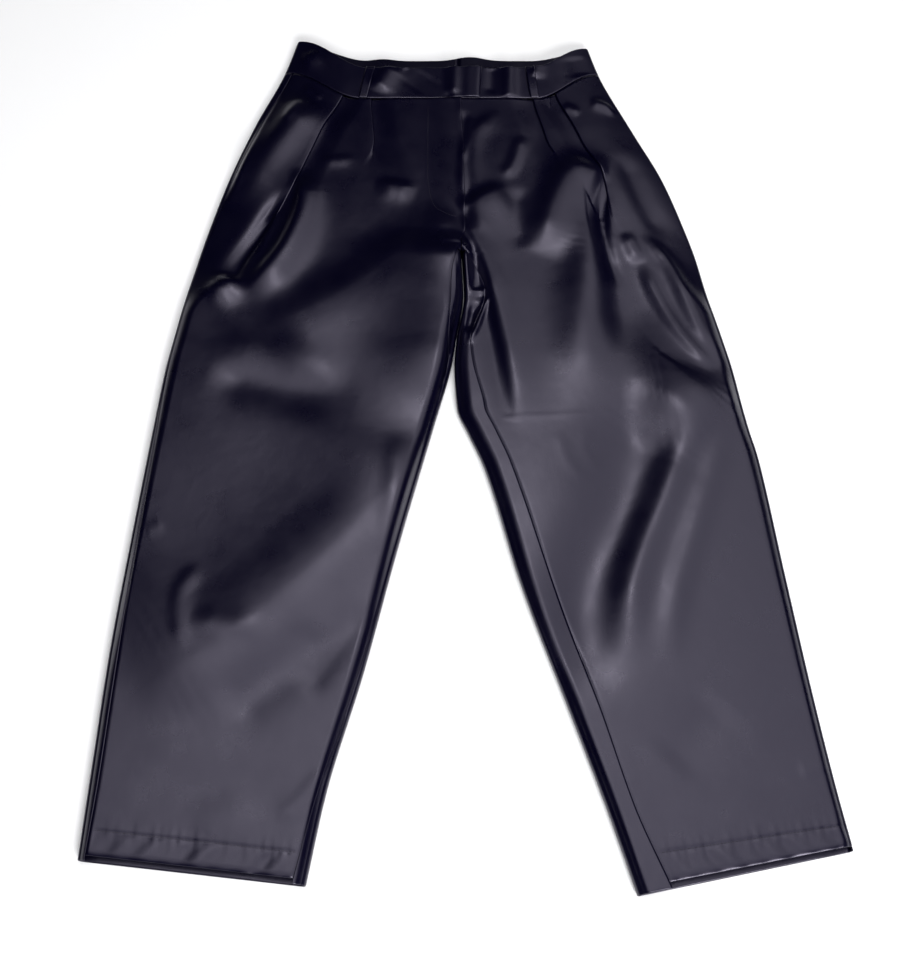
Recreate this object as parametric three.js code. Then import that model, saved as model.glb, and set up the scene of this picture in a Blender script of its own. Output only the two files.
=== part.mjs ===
import * as THREE from "three";

// Pleated leather trousers laid flat with their front up. Millimetres: +Y runs up to the waist, +Z is up
// from the surface, and z = 0 is where the back panels rest.

// Thickness of the leather and how tightly it turns
const LEATHER = 1.3; // wall of the leg panels
const BAND_LEATHER = 2.2; // wall of the waistband, two layers pressed together
const LOOP_LEATHER = 1.6;
const SEAM_GAP = 0.3; // between pieces that are sewn edge to edge
const SIDE_RADIUS = 4.2; // outside of the turn where a flat leg goes over at its side
const PLEAT_RADIUS = 1.3; // middle of the wall where a pleat folds back on itself

// Waistband, fly and belt loops
const BAND_HEIGHT = 46;
const TAB_REACH = 31; // length of the tab that lies on the other half of the band
const TAB_STEP = 12; // where the band starts to climb onto the other half
const TAB_LANDS = 3; // and where it lies on it, both before the middle
const BAND_COLUMNS = 17;
const FLY_LAP = 5; // how far the right front laps over the left down the middle
const FLY_WIDTH = 44;
const FLY_RAMP = 38; // width over which the right front climbs onto the lap
const FLY_END = 8; // the lap ends this far above the crotch
const LAP_FADE = 20; // and narrows over this length
const LOOP_WIDTH = 11;
const LOOP_PLACE = 0.46; // share of the way from the side to the middle
const LOOP_SLACK = 1.2;
const LOOP_ROWS = 8;

// Pleats and hems
const UNDERLAP = 18; // leather hidden under each pleat at the waist seam
const PLEAT_CLIMB = 28; // the under layer is back at the top level after this width
const DIP_REACH = 0.45; // share of the waist seam that curves up towards the side
const HEM_DEPTH = 29;
const HEM_SETBACK = 5; // the front hem ends this far short of the back hem
const LENGTH = 921; // from the waist seam to the back hem
const HEM_TOP = LENGTH - HEM_DEPTH;
const CROTCH = 234; // the halves stop being joined in the middle here, and each leg is closed a little below
const CROTCH_END = 243;
const GROOVE_LENGTH = 130; // below the crotch the groove between the legs deepens over this length
const MIDDLE_Y = 3.1; // middle of the whole outline, which the frame's origin lies under
const PLEAT_STEP = 13; // between the sections of a panel, at the pleats and along the legs
const LEG_STEP = 54;
const INSIDE_REACH = 38; // floor columns this close to the middle take the inside turn of the leg
const TURN_COLUMNS = 8;
const HIP_ROUND = 0.35; // share of a half's width over which its front rounds up at the hips
const LEG_ROUND = 0.2; // and down the legs, which lie flatter
const HIP_END = 190; // distance down where the one starts to pass into the other
const HIP_FADE = 130;
const FOLD_CLEAR = 6; // folds stay this far from a seam and reach their height over the next width
const FOLD_FADE = 16;
const INSIDE_STEP = 2.5; // columns of a front along its inside edge

const UNDER = SIDE_RADIUS - Math.PI * (SIDE_RADIUS - LEATHER / 2); // seam at the bottom of the turn
const EDGE = SIDE_RADIUS - (Math.PI / 2) * (SIDE_RADIUS - LEATHER / 2); // seam at the very edge

// Sections across each half, from the band's top edge to the hem. outX outY: folded side edge. inX inY: middle
// line, and below the crotch the inside of the leg. outStrip inStrip: how far the back panel comes over the
// top. lift: height of the front over the turn. bow: curve of the waist. rise: extra height of the back waist.
// open: 1 where the halves join in the middle, 0 where the leg turns over at its inside.
const SECTION_COLUMNS = [
  "down", "outX", "outY", "inX", "inY", "outStrip", "inStrip", "lift", "bow", "rise", "open",
];
const RIGHT_HALF = table(SECTION_COLUMNS, [
  [-BAND_HEIGHT, -203, 508, -5, 462, 10, UNDER, 9, 1, 22, 1],
  [0, -217, 460, -7, 417, 10, UNDER, 9, 1, 20, 1],
  [65, -249, 384, -5, 366, 9, UNDER, 10.5, 0.7, 12, 1],
  [133, -275, 310, -4, 303, 6, UNDER, 12, 0.2, 4, 1],
  [201, -294, 242, -3, 235, 4, UNDER, 13, 0, 0, 1],
  [CROTCH, -303, 205, -3, 206, 3, UNDER, 13, 0, 0, 1],
  [CROTCH_END, -305, 196, -3, 197, 3, SIDE_RADIUS, 13, 0, 0, 0],
  [290, -315, 150, -1, 150, 2, 14, 14, 0, 0, 0],
  [342, -324, 100, -9.5, 95, 2, 8, 15, 0, 0, 0],
  [379, -331, 60, -14.5, 62, 3, 4, 15.8, 0, 0, 0],
  [452, -339, -12, -34, -12, 6, 2, 16, 0, 0, 0],
  [583, -352, -139, -70, -148, 9, 2, 16, 0, 0, 0],
  [717, -364, -269, -104, -286, 12.5, 4, 16, 0, 0, 0],
  [832, -370.5, -381, -137, -404, 12, 8, 15.5, 0, 0, 0],
  [LENGTH, -375.5, -469, -154, -493, 9, 12.5, 15, 0, 0, 0],
]);
const LEFT_HALF = table(SECTION_COLUMNS, [
  [-BAND_HEIGHT, 153, 497, -5, 462, EDGE, UNDER, 9, 1, 22, 1],
  [0, 165, 457, -7, 417, EDGE, UNDER, 9, 1, 20, 1],
  [65, 202, 375, -5, 366, EDGE, UNDER, 10.5, 0.7, 12, 1],
  [133, 234, 306, -4, 303, EDGE, UNDER, 12, 0.2, 4, 1],
  [201, 256, 238, -3, 235, EDGE, UNDER, 13, 0, 0, 1],
  [CROTCH, 265, 205, -3, 206, EDGE, UNDER, 13, 0, 0, 1],
  [CROTCH_END, 267, 196, -2.4, 197, EDGE, 7, 13, 0, 0, 0],
  [290, 276, 150, 0, 150, EDGE, 24, 14, 0, 0, 0],
  [342, 288, 100, -8.5, 95, EDGE, 16, 15, 0, 0, 0],
  [379, 297, 60, -11, 62, EDGE, 21, 15.8, 0, 0, 0],
  [428, 305, 12, -8, 11, EDGE, 30, 16, 0, 0, 0],
  [455, 310, -15, 3, -16, EDGE, 30, 16, 0, 0, 0],
  [492, 317, -47, 21, -58, EDGE, 29, 16, 0, 0, 0],
  [623, 334, -178, 58, -189, EDGE, 32, 16, 0, 0, 0],
  [755, 351, -308, 104, -322, EDGE, 30, 16, 0, 0, 0],
  [850, 365, -401, 138, -420, EDGE, 26, 15.5, 0, 0, 0],
  [LENGTH, 375.5, -460, 164, -502, EDGE, 33, 15, 0, 0, 0],
]);

// Where the two pleats of each front run, as shares of the way from the side to the middle
const PLEAT_COLUMNS = ["down", "outer", "inner"];
const RIGHT_PLEATS = table(PLEAT_COLUMNS, [
  [0, 0.34, 0.5], [90, 0.32, 0.6], [165, 0.28, 0.63], [270, 0.19, 0.63], [LENGTH, 0.19, 0.63],
]);
const LEFT_PLEATS = table(PLEAT_COLUMNS, [
  [0, 0.31, 0.465], [80, 0.32, 0.51], [125, 0.29, 0.48], [190, 0.325, 0.5], [300, 0.32, 0.52],
  [LENGTH, 0.3, 0.52],
]);
// How far down each pleat keeps its underlap, and where it has opened flat
const OUTER_RELEASE = { sewn: 130, flat: 235 };
const INNER_RELEASE = { sewn: 75, flat: 135 };
const PLEAT_OPENS = 0.85; // share of the underlap's length where a pleat starts to spread
const PLEAT_SPREAD = 26; // half the width that an opened pleat's columns take, or this share of the way
const PLEAT_ROOM = 0.36; // between the two pleats if that is less

// Largest folds of the laid cloth: a path in plan, the half widths to the left and right of the way it
// runs, and the height (hollows below zero)
const FOLDS = [
  // right front, from its outer pleat
  { path: [[-172, 422], [-216, 367], [-257, 318], [-282, 262]], left: 32, right: 14, height: 6 },
  { path: [[-205, 287], [-232, 233], [-264, 162]], left: 12, right: 16, height: -5 },
  { path: [[-194, 317], [-187, 271], [-201, 216], [-256, 138]], left: 26, right: 12, height: 5 },
  { path: [[-293, 178], [-250, 150]], left: 10, right: 12, height: 3 },
  // right thigh
  { path: [[0, 246], [-73, 195], [-139, 144], [-232, 96]], left: 62, right: 30, height: 6 },
  { path: [[-278, 49], [-222, 35], [-169, 22], [-101, 13]], left: 15, right: 17, height: -4 },
  // right knee and calf
  { path: [[-27, -21], [-131, -139], [-221, -222], [-272, -228]], left: 36, right: 76, height: 6 },
  { path: [[-138, -231], [-177, -283], [-244, -336]], left: 18, right: 22, height: -2.5 },
  // left front and thigh
  { path: [[-2, 257], [49, 287]], left: 12, right: 38, height: 4 },
  { path: [[169, 301], [130, 312], [107, 273], [82, 196]], left: 38, right: 18, height: 6 },
  { path: [[138, 273], [146, 206], [137, 18]], left: 42, right: 26, height: 5 },
  { path: [[-2, 253], [25, 191], [40, 104], [54, 18]], left: 22, right: 12, height: 4 },
  { path: [[171, 294], [159, 253], [176, 154]], left: 12, right: 14, height: -3 },
  { path: [[202, 230], [236, 191], [268, 104], [297, 52]], left: 12, right: 11, height: 3.5 },
  { path: [[167, 154], [205, 79], [250, 40]], left: 16, right: 18, height: -2.5 },
  // left knee and calf
  { path: [[188, 6], [250, 14], [304, 26]], left: 56, right: 40, height: 5 },
  { path: [[222, 14], [178, -99], [139, -183], [134, -304]], left: 18, right: 24, height: -4.5 },
  { path: [[295, 18], [254, -30], [198, -155], [176, -294]], left: 15, right: 14, height: 3.5 },
];
const CREST_ROUND = 0.4; // share of a fold's narrower side over which its two sides blend at the crest

const leather = { color: 0x1b171f, roughness: 0.38, metalness: 0 };

function table(columns, rows) {
  return rows.map((row) => Object.fromEntries(columns.map((name, k) => [name, row[k]])));
}

function mix(a, b, t) {
  return a + (b - a) * t;
}

function smooth(t) {
  return THREE.MathUtils.smoothstep(t, 0, 1);
}

// One value of a table at a distance down the garment, on a curve that never overshoots its rows
function valueAt(rows, name, down) {
  const x = THREE.MathUtils.clamp(down, rows[0].down, rows.at(-1).down);
  const k = Math.max(1, rows.findIndex((row) => row.down >= x)) - 1;
  const slope = (n) => (rows[n + 1][name] - rows[n][name]) / (rows[n + 1].down - rows[n].down);
  const tangent = (n) => {
    if (n === 0 || n === rows.length - 1) return slope(Math.min(n, rows.length - 2));
    const product = slope(n - 1) * slope(n);
    return product <= 0 ? 0 : (2 * product) / (slope(n - 1) + slope(n));
  };
  const span = rows[k + 1].down - rows[k].down;
  const t = (x - rows[k].down) / span;
  const rise = rows[k + 1][name] - rows[k][name];
  const a = tangent(k) * span - rise;
  const b = rise - tangent(k + 1) * span;
  return mix(rows[k][name], rows[k + 1][name], t) + t * (1 - t) * (a * (1 - t) + b * t);
}

function sectionAt(rows, down) {
  const section = { down };
  for (const name of SECTION_COLUMNS.slice(1)) section[name] = valueAt(rows, name, down);
  section.width = Math.hypot(section.inX - section.outX, section.inY - section.outY);
  return section;
}

// Height that the folds add at a point in plan
function foldHeight(x, y) {
  let height = 0;
  for (const { path, left, right, height: crest } of FOLDS) {
    let nearest = Infinity;
    let toLeft = 0;
    for (let k = 1; k < path.length; k++) {
      const start = new THREE.Vector2(...path[k - 1]);
      const run = new THREE.Vector2(...path[k]).sub(start);
      const offset = new THREE.Vector2(x, y).sub(start);
      const t = THREE.MathUtils.clamp(offset.dot(run) / run.lengthSq(), 0, 1);
      const distance = offset.distanceTo(run.clone().multiplyScalar(t));
      if (distance < nearest) {
        nearest = distance;
        toLeft = run.cross(offset) / run.length();
      }
    }
    const width = mix(right, left, smooth(toLeft / (CREST_ROUND * Math.min(left, right)) + 0.5));
    height += crest * Math.exp(-((nearest / width) ** 2));
  }
  return height;
}

// Plan position at a distance s from the side edge; back: 1 on the back layer, 0 on the front
function planPoint(section, s, back) {
  const u = s / section.width;
  const dip = 0.5 - 0.5 * Math.cos(Math.PI * THREE.MathUtils.clamp(u / DIP_REACH, 0, 1));
  const along = mix(u, dip, section.bow);
  const x = mix(section.outX, section.inX, u);
  const y = mix(section.outY, section.inY + section.rise * back, along);
  return new THREE.Vector3(x, y, 0);
}

// Point of the front layer's middle surface, s from the side edge
function frontPoint(section, s, wall) {
  const radius = SIDE_RADIUS - wall / 2;
  const fromInside = section.width - s;
  const rounded = mix(HIP_ROUND, LEG_ROUND, smooth((section.down - HIP_END) / HIP_FADE));
  const swell = (share) => Math.sin((Math.PI / 2) * THREE.MathUtils.clamp(share / rounded, 0, 1));
  const groove = smooth((section.down - CROTCH) / GROOVE_LENGTH);
  const inside = mix(1, swell(fromInside / section.width), groove);
  const clear = (distance) => smooth((distance - FOLD_CLEAR) / FOLD_FADE);
  const edges = clear(s) * mix(1, clear(fromInside), groove);
  const point = planPoint(section, s, 0);
  const lift = section.lift * swell(s / section.width) * inside;
  point.z = SIDE_RADIUS + radius + lift + foldHeight(point.x, point.y) * edges * (wall === LEATHER ? 1 : 0);
  return point;
}

// Point of the leg's closed outline at a distance c from its side edge, measured over the top: below the radius
// it goes round the turn, and past half a turn it lies along the floor
function loopPoint(section, c, wall, fromInside) {
  const radius = SIDE_RADIUS - wall / 2;
  const along = (s) => (fromInside ? section.width - s : s);
  if (c >= SIDE_RADIUS) return frontPoint(section, along(c), wall);
  const angle = (SIDE_RADIUS - c) / radius;
  if (angle >= Math.PI) {
    const floor = planPoint(section, along(SIDE_RADIUS + (angle - Math.PI) * radius), 1);
    floor.z = wall / 2;
    return floor;
  }
  const turn = planPoint(section, along(SIDE_RADIUS - radius * Math.sin(angle)), angle / Math.PI);
  const top = frontPoint(section, along(SIDE_RADIUS), wall).z - (SIDE_RADIUS + radius);
  turn.z = SIDE_RADIUS + radius * Math.cos(angle) + top * Math.cos(angle / 2) ** 2;
  return turn;
}

function floorPoint(section, s, wall) {
  return planPoint(section, s, 1).setZ(wall / 2);
}

// Distances from the side edge of the columns along the floor, wide ones and then the narrow ones that take the
// inside turn below the crotch; above it they reach the middle of the back
function floorStops(section) {
  const wideEnd = section.width - INSIDE_REACH;
  const middle = section.width - mix(SIDE_RADIUS, SEAM_GAP, section.open);
  const wide = [1, 2, 3, 4, 5, 6].map((k) => mix(SIDE_RADIUS, wideEnd, k / 6));
  const narrow = [1, 2, 3, 4, 5, 6, 7, 8].map((k) => mix(wideEnd, middle, k / 8));
  return { wide, narrow };
}

// Closed wall on both sides of a grid of middle points, with its four rims
function wallGeometry(grid, facing, wall, turnedIn = () => 0) {
  const rows = grid.length;
  const columns = grid[0].length;
  const at = (i, j) => grid[THREE.MathUtils.clamp(i, 0, rows - 1)][THREE.MathUtils.clamp(j, 0, columns - 1)];
  const positions = [];
  for (const layer of [1, -1]) {
    for (let i = 0; i < rows; i++) {
      for (let j = 0; j < columns; j++) {
        const across = at(i, j + 1).clone().sub(at(i, j - 1));
        const downwards = at(i + 1, j).clone().sub(at(i - 1, j));
        const normal = downwards.cross(across).normalize().multiplyScalar(facing * layer);
        const thickness = layer > 0 ? wall / 2 : wall / 2 + turnedIn(i, j);
        positions.push(...at(i, j).clone().addScaledVector(normal, thickness).toArray());
      }
    }
  }
  const index = [];
  const quad = (a, b, c, d) => index.push(a, b, c, a, c, d);
  const top = (i, j) => i * columns + j;
  const under = (i, j) => rows * columns + i * columns + j;
  for (let i = 0; i < rows - 1; i++) {
    for (let j = 0; j < columns - 1; j++) {
      quad(top(i, j), top(i + 1, j), top(i + 1, j + 1), top(i, j + 1));
      quad(under(i, j), under(i, j + 1), under(i + 1, j + 1), under(i + 1, j));
    }
    quad(top(i, 0), under(i, 0), under(i + 1, 0), top(i + 1, 0));
    quad(top(i, columns - 1), top(i + 1, columns - 1), under(i + 1, columns - 1), under(i, columns - 1));
  }
  for (let j = 0; j < columns - 1; j++) {
    quad(top(0, j), top(0, j + 1), under(0, j + 1), under(0, j));
    quad(top(rows - 1, j), under(rows - 1, j), under(rows - 1, j + 1), top(rows - 1, j + 1));
  }
  if (facing < 0) index.reverse();
  const geometry = new THREE.BufferGeometry();
  geometry.setAttribute("position", new THREE.Float32BufferAttribute(positions, 3));
  geometry.setIndex(index);
  return geometry;
}

function pieceMesh(name, geometry) {
  const mesh = new THREE.Mesh(geometry, new THREE.MeshStandardMaterial(leather));
  mesh.name = name;
  return mesh;
}

// Distances down a panel: close together over the pleats, further apart along the legs, and at the hem's step
function stationsTo(end) {
  const stations = [0];
  while (stations.at(-1) < HEM_TOP - 1.2 * LEG_STEP) {
    const nearCrotch = stations.at(-1) < CROTCH && stations.at(-1) + LEG_STEP / 2 > CROTCH;
    if (nearCrotch) stations.push(CROTCH - FLY_END, CROTCH, CROTCH_END);
    const step = mix(PLEAT_STEP, LEG_STEP, smooth((stations.at(-1) - 100) / 330));
    stations.push(stations.at(-1) + step);
  }
  return [...stations, HEM_TOP - 2, HEM_TOP, HEM_TOP + HEM_DEPTH / 2, end];
}

// Eight points of a pleat folded back on itself, starting and ending level; x runs towards the middle
function pleatPoints(underlap) {
  const points = [];
  for (const [middle, level, turns] of [[0, -1, [90, 30, -30, -90]], [-underlap, -3, [90, 150, 210, 270]]]) {
    for (const degrees of turns) {
      const angle = THREE.MathUtils.degToRad(degrees);
      points.push({
        s: middle + PLEAT_RADIUS * Math.cos(angle),
        z: PLEAT_RADIUS * (level + Math.sin(angle)),
      });
    }
  }
  return points;
}

// Front panel's points across one section: plain edges, and between them the two pleats, folded at the waist
// and spread out where they have opened. s is the distance from the side edge, z the height it adds.
function frontColumns(section, pleats, start, end) {
  const down = Math.max(0, section.down);
  const sideStep = Math.max(1.6, (SIDE_RADIUS - start) / 2);
  const first = start + 2 * sideStep;
  const last = end - 2 * INSIDE_STEP;
  const columns = [];
  const plainColumns = (from, to, count, drop) => {
    for (let k = 0; k < count; k++) {
      const s = mix(from, to, k / count);
      columns.push({ s, z: -drop * (1 - smooth((s - from) / PLEAT_CLIMB)) });
    }
  };
  const between = (valueAt(pleats, "inner", down) - valueAt(pleats, "outer", down)) * section.width;
  let from = first + sideStep;
  let drop = 0;
  for (const [name, release, before] of [["outer", OUTER_RELEASE, 3], ["inner", INNER_RELEASE, 4]]) {
    const place = valueAt(pleats, name, down) * section.width;
    const opened = smooth((down - PLEAT_OPENS * release.sewn) / (release.flat - PLEAT_OPENS * release.sewn));
    const spread = mix(PLEAT_RADIUS, Math.min(PLEAT_SPREAD, PLEAT_ROOM * between), opened);
    plainColumns(from, place - spread - PLEAT_RADIUS, before, drop);
    const fold = pleatPoints(UNDERLAP * (1 - smooth(down / release.sewn)));
    fold.forEach((point, k) => {
      const even = spread * ((2 * k) / (fold.length - 1) - 1);
      columns.push({ s: place + mix(point.s, even, opened), z: point.z * (1 - opened) });
    });
    from = place + spread + 2 * PLEAT_RADIUS;
    drop = 4 * PLEAT_RADIUS * (1 - opened);
  }
  plainColumns(from, last, 4, drop);
  const plain = (s) => ({ s, z: 0 });
  const sideEdge = [start, start + sideStep, first].map(plain);
  return [...sideEdge, ...columns, ...[last, last + INSIDE_STEP, end].map(plain)];
}

function frontPanel(rows, pleats, side, overFly) {
  const stations = stationsTo(LENGTH - HEM_SETBACK);
  const grid = stations.map((down) => {
    const section = sectionAt(rows, down);
    const lap = overFly ? FLY_LAP * smooth((CROTCH - FLY_END - down) / LAP_FADE) : 0;
    const raise = overFly ? (LEATHER + 2 * SEAM_GAP) * smooth((CROTCH - down) / FLY_END) : 0;
    const insideGap = Math.max(0, section.inStrip) + SEAM_GAP;
    const end = section.width - insideGap + lap;
    const start = section.outStrip + SEAM_GAP;
    return frontColumns(section, pleats, start, end).map(({ s, z }) => {
      const fromInside = section.width - s;
      const closed = fromInside < SIDE_RADIUS && section.open < 0.5;
      const nearSide = s < SIDE_RADIUS;
      let point = frontPoint(section, s, LEATHER);
      if (nearSide) point = loopPoint(section, s, LEATHER, false);
      if (closed) point = loopPoint(section, fromInside, LEATHER, true);
      point.z += z;
      point.z += raise * smooth((s - section.width + FLY_WIDTH) / FLY_RAMP);
      return point;
    });
  });
  const onHem = (i, j) => i >= stations.length - 3 && j > 2 && j < grid[0].length - 3;
  return wallGeometry(grid, side, LEATHER, (i, j) => (onHem(i, j) ? LEATHER : 0));
}

// Back panel: from its seam on top, round the side, along the floor, and below the crotch round the inside
function backPanel(rows, side) {
  const stations = stationsTo(LENGTH);
  const grid = stations.map((down) => {
    const section = sectionAt(rows, down);
    const points = [];
    const stripEnd = Math.max(section.outStrip, EDGE);
    const turnEnd = Math.min(SIDE_RADIUS, stripEnd - 1);
    const aroundSide = (c) => loopPoint(section, c, LEATHER, false);
    for (let k = 0; k < 2; k++) points.push(aroundSide(mix(stripEnd, turnEnd, k / 2)));
    for (let k = 4; k >= 0; k--) points.push(aroundSide(mix(UNDER, turnEnd, k / 4)));
    const { wide, narrow } = floorStops(section);
    for (const s of wide) points.push(floorPoint(section, s, LEATHER));
    const insideEnd = Math.max(section.inStrip, EDGE);
    const insideTurn = Math.min(SIDE_RADIUS, insideEnd - 1);
    narrow.forEach((s, k) => {
      const c = k < 5 ? mix(UNDER, insideTurn, k / 4) : mix(insideTurn, insideEnd, (k - 4) / 3);
      points.push(loopPoint(section, c, LEATHER, true).lerp(floorPoint(section, s, LEATHER), section.open));
    });
    return points;
  });
  const onHem = (i, j) => i >= stations.length - 3 && j > TURN_COLUMNS && j < grid[0].length - TURN_COLUMNS;
  return wallGeometry(grid, -side, LEATHER, (i, j) => (onHem(i, j) ? LEATHER : 0));
}

function bandPoint(rows, down, s, tab) {
  const section = sectionAt(rows, down);
  const surface = s < SIDE_RADIUS ? loopPoint : frontPoint;
  const point = surface(section, s, BAND_LEATHER, false);
  const onOther = smooth((s - section.width + TAB_STEP) / (TAB_STEP - TAB_LANDS));
  point.z += tab ? (BAND_LEATHER + SEAM_GAP) * onOther : 0;
  return point;
}

// Half of the waistband: along the front, round the side and back along the floor to the middle of the back
function waistband(rows, side, tab) {
  const heights = [-2 * SEAM_GAP, -BAND_HEIGHT / 3, (-2 * BAND_HEIGHT) / 3, -BAND_HEIGHT];
  const radius = SIDE_RADIUS - BAND_LEATHER / 2;
  const grid = heights.map((down) => {
    const section = sectionAt(rows, down);
    const points = [];
    const end = section.width - SEAM_GAP;
    if (tab) {
      for (let k = 3; k >= 0; k--) {
        points.push(bandPoint(rows, down, section.width - TAB_LANDS + (TAB_REACH * k) / 3, tab));
      }
      points.push(bandPoint(rows, down, section.width - TAB_STEP, tab));
    } else {
      points.push(bandPoint(rows, down, end, tab));
    }
    for (let k = BAND_COLUMNS; k >= 0; k--) {
      const s = mix(SIDE_RADIUS, section.width - 2 * TAB_STEP, k / BAND_COLUMNS);
      points.push(bandPoint(rows, down, s, tab));
    }
    for (let k = 1; k <= 4; k++) {
      const around = SIDE_RADIUS - (k / 4) * Math.PI * radius;
      points.push(loopPoint(section, around, BAND_LEATHER, false));
    }
    const { wide, narrow } = floorStops(section);
    for (const s of [...wide, ...narrow]) points.push(floorPoint(section, s, BAND_LEATHER));
    return points;
  });
  return wallGeometry(grid.reverse(), -side, BAND_LEATHER);
}

// Belt loop: a strip over the band, a little slack between its two sewn ends
function beltLoop(rows, side) {
  const grid = [];
  for (let i = 0; i <= LOOP_ROWS; i++) {
    const down = mix(-BAND_HEIGHT, -2 * SEAM_GAP, i / LOOP_ROWS);
    const width = sectionAt(rows, down).width;
    const slack = LOOP_SLACK * Math.sin((Math.PI * i) / LOOP_ROWS);
    const raise = (BAND_LEATHER + LOOP_LEATHER) / 2 + SEAM_GAP + slack;
    grid.push([-1, 0, 1].map((k) => {
      const point = bandPoint(rows, down, LOOP_PLACE * width + (k * LOOP_WIDTH) / 2, false);
      point.z += raise;
      return point;
    }));
  }
  return wallGeometry(grid, side, LOOP_LEATHER);
}

const trousers = new THREE.Group();
trousers.position.y = -MIDDLE_Y;
trousers.add(pieceMesh("back_right", backPanel(RIGHT_HALF, 1)));
trousers.add(pieceMesh("back_left", backPanel(LEFT_HALF, -1)));
trousers.add(pieceMesh("front_right", frontPanel(RIGHT_HALF, RIGHT_PLEATS, 1, true)));
trousers.add(pieceMesh("front_left", frontPanel(LEFT_HALF, LEFT_PLEATS, -1, false)));
trousers.add(pieceMesh("waistband_right", waistband(RIGHT_HALF, 1, true)));
trousers.add(pieceMesh("waistband_left", waistband(LEFT_HALF, -1, false)));
trousers.add(pieceMesh("belt_loop_right", beltLoop(RIGHT_HALF, 1)));
trousers.add(pieceMesh("belt_loop_left", beltLoop(LEFT_HALF, -1)));

export default trousers;
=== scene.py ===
import math

import bpy
import numpy as np
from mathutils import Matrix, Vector
from mathutils.bvhtree import BVHTree


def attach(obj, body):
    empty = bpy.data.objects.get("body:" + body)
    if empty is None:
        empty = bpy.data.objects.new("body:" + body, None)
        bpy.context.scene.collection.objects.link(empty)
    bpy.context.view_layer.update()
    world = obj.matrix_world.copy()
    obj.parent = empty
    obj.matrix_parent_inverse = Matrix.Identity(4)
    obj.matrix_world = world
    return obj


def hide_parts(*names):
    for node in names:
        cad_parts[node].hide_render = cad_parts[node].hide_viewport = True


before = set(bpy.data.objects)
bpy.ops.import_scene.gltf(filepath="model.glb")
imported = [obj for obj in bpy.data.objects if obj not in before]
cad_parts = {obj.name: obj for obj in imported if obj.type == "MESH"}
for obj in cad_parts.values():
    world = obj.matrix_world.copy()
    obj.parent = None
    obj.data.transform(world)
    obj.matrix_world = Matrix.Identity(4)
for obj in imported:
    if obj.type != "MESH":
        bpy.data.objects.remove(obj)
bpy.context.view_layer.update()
print("frame loaded")

# Sizes are in millimetres here, and become metres when a mesh is made
metre = 0.001
garment = {
    "leather": 1.3,  # wall of the legs
    "bandLeather": 2.2,
    "loopLeather": 1.6,
    "seamGap": 0.3,
    "sideRadius": 4.2,  # outside of the turn at a leg's side
    "pleatRadius": 1.3,
    "length": 921.0,  # waist seam to back hem
    "hemDepth": 29.0,
    "hemSetback": 5.0,  # the front hem stops this far short of the back one
    "bandHeight": 46.0,
    "crotch": 234.0,
    "crotchEnd": 243.0,
    "insideReach": 38.0,
    "dipReach": 0.45,  # share of the waist seam that curves up to the side
    "grooveLength": 130.0,  # below the crotch the groove between the legs deepens over this length
    "outer": 0.65,  # the leather's outer face above the middle of its solid, and its inner face below
    "inner": 0.3,
    "hipRound": 0.35,  # share of a half's width over which its front rounds up at the hips
    "legRound": 0.055,  # and down the legs, which lie flatter
    "legLift": 0.75,  # share of the tables' height that the legs keep once the leather has sunk
    "middleY": 3.1,  # the frame's origin lies under the middle of the outline
}
sideTurn = garment["sideRadius"] - garment["leather"] / 2
seamUnder = garment["sideRadius"] - math.pi * sideTurn  # a seam at the bottom of the turn
seamAtEdge = garment["sideRadius"] - math.pi / 2 * sideTurn

# A row per section: down the garment, the folded side edge, the middle line (the leg's inside edge below the
# crotch), how far the back comes over the top on each side, height of the front, curve of the waist, rise of
# the back, and 1 where the halves join in the middle
sectionColumns = ("down", "outX", "outY", "inX", "inY", "outStrip", "inStrip", "lift", "bow", "rise", "open")
rightRows = [
    (-garment["bandHeight"], -203, 508, -5, 462, 10, seamUnder, 9, 1, 22, 1),
    (0, -217, 460, -7, 417, 10, seamUnder, 9, 1, 20, 1),
    (65, -249, 384, -5, 366, 9, seamUnder, 10.5, 0.7, 12, 1),
    (133, -275, 310, -4, 303, 6, seamUnder, 12, 0.2, 4, 1),
    (201, -294, 242, -3, 235, 4, seamUnder, 13, 0, 0, 1),
    (garment["crotch"], -303, 205, -3, 206, 3, seamUnder, 13, 0, 0, 1),
    (garment["crotchEnd"], -305, 196, -3, 197, 3, garment["sideRadius"], 13, 0, 0, 0),
    (290, -315, 150, -1, 150, 2, 14, 14, 0, 0, 0),
    (342, -324, 100, -9.5, 95, 2, 8, 15, 0, 0, 0),
    (379, -331, 60, -14.5, 62, 3, 4, 15.8, 0, 0, 0),
    (452, -339, -12, -34, -12, 6, 2, 16, 0, 0, 0),
    (583, -352, -139, -70, -148, 9, 2, 16, 0, 0, 0),
    (717, -364, -269, -104, -286, 12.5, 4, 16, 0, 0, 0),
    (832, -370.5, -381, -137, -404, 12, 8, 15.5, 0, 0, 0),
    (garment["length"], -375.5, -469, -154, -493, 9, 12.5, 15, 0, 0, 0),
]
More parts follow.
